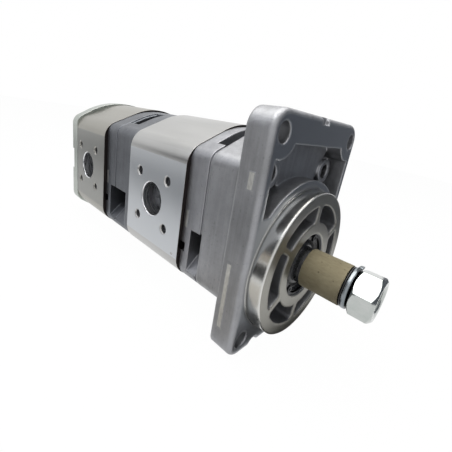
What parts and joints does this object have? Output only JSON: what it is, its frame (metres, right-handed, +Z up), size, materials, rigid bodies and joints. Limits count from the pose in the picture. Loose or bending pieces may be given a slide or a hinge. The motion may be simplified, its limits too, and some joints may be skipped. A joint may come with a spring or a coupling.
{
  "type": "tandem gear pump",
  "caption": "Two-stage gear pump: rectangular four-bolt flange with round pilot, tapered shaft in a sleeve, two light housings between dark castings, and side ports.",
  "frame": {"origin": "shaft and pilot axis where it meets the mounting face", "axes": "+X along the drive shaft and out of its nose, +Z up towards the driven gears, -Y the side of the inlets"},
  "size_m": [0.257, 0.087, 0.1188],
  "materials": {
    "cast_aluminium": "satin, as cast",
    "extruded_aluminium": "satin, as extruded",
    "ground_steel": "ground",
    "black_steel": "blackened",
    "zinc_plated_steel": "bright zinc plate",
    "black_rubber": "matte",
    "bronze": "machined",
    "cardboard": "matte brown card"
  },
  "bodies": {
    "pump_body": {"flange_cover": "cast_aluminium", "shaft_seal": "black_rubber", "seal_circlip": "black_steel", "bearing_outer_ring": "ground_steel", "bearing_circlip": "black_steel", "stage_1_front_casting": "cast_aluminium", "stage_1_housing": "extruded_aluminium", "stage_1_end_casting": "cast_aluminium", "stage_2_front_casting": "cast_aluminium", "stage_2_housing": "extruded_aluminium", "rear_cover": "extruded_aluminium", "stage_1_front_bearing_block": "extruded_aluminium", "stage_1_rear_bearing_block": "extruded_aluminium", "stage_1_bushes": "bronze", "stage_2_front_bearing_block": "extruded_aluminium", "stage_2_rear_bearing_block": "extruded_aluminium", "stage_2_bushes": "bronze", "stage_1_block_seals": "black_rubber", "stage_2_block_seals": "black_rubber", "housing_seals": "black_rubber", "inner_shaft_seals": "black_rubber", "dowel_pins": "ground_steel", "through_bolts": "black_steel", "through_bolt_washers": "zinc_plated_steel"},
    "drive_line": {"drive_shaft": "ground_steel", "woodruff_key": "ground_steel", "taper_sleeve": "cardboard", "thin_ring": "black_rubber", "tab_washer": "zinc_plated_steel", "shaft_nut": "zinc_plated_steel", "bearing_inner_ring": "ground_steel", "front_coupling": "black_steel", "middle_coupling": "black_steel", "stage_1_drive_gear": "ground_steel", "stage_2_drive_gear": "ground_steel"},
    "stage_1_driven": {"stage_1_driven_gear": "ground_steel"},
    "stage_2_driven": {"stage_2_driven_gear": "ground_steel"},
    "ball_set": {"bearing_cage": "bronze", "bearing_balls": "ground_steel"}
  },
  "joints": [
    {"name": "drive_spin", "type": "hinge", "parent": "pump_body", "child": "drive_line", "pos_m": [0, 0, 0], "axis": [1, 0, 0], "continuous": true},
    {"name": "stage_1_driven_spin", "type": "hinge", "parent": "pump_body", "child": "stage_1_driven", "pos_m": [-0.0762, 0, 0.0318], "axis": [1, 0, 0], "continuous": true},
    {"name": "stage_2_driven_spin", "type": "hinge", "parent": "pump_body", "child": "stage_2_driven", "pos_m": [-0.1692, 0, 0.0318], "axis": [1, 0, 0], "continuous": true},
    {"name": "cage_spin", "type": "hinge", "parent": "pump_body", "child": "ball_set", "pos_m": [-0.015, 0, 0], "axis": [1, 0, 0], "continuous": true}
  ],
  "couplings": [
    {"joint": "stage_1_driven_spin", "follows": "drive_spin", "ratio": -1},
    {"joint": "stage_2_driven_spin", "follows": "drive_spin", "ratio": -1},
    {"joint": "cage_spin", "follows": "drive_spin", "ratio": 0.3815}
  ]
}
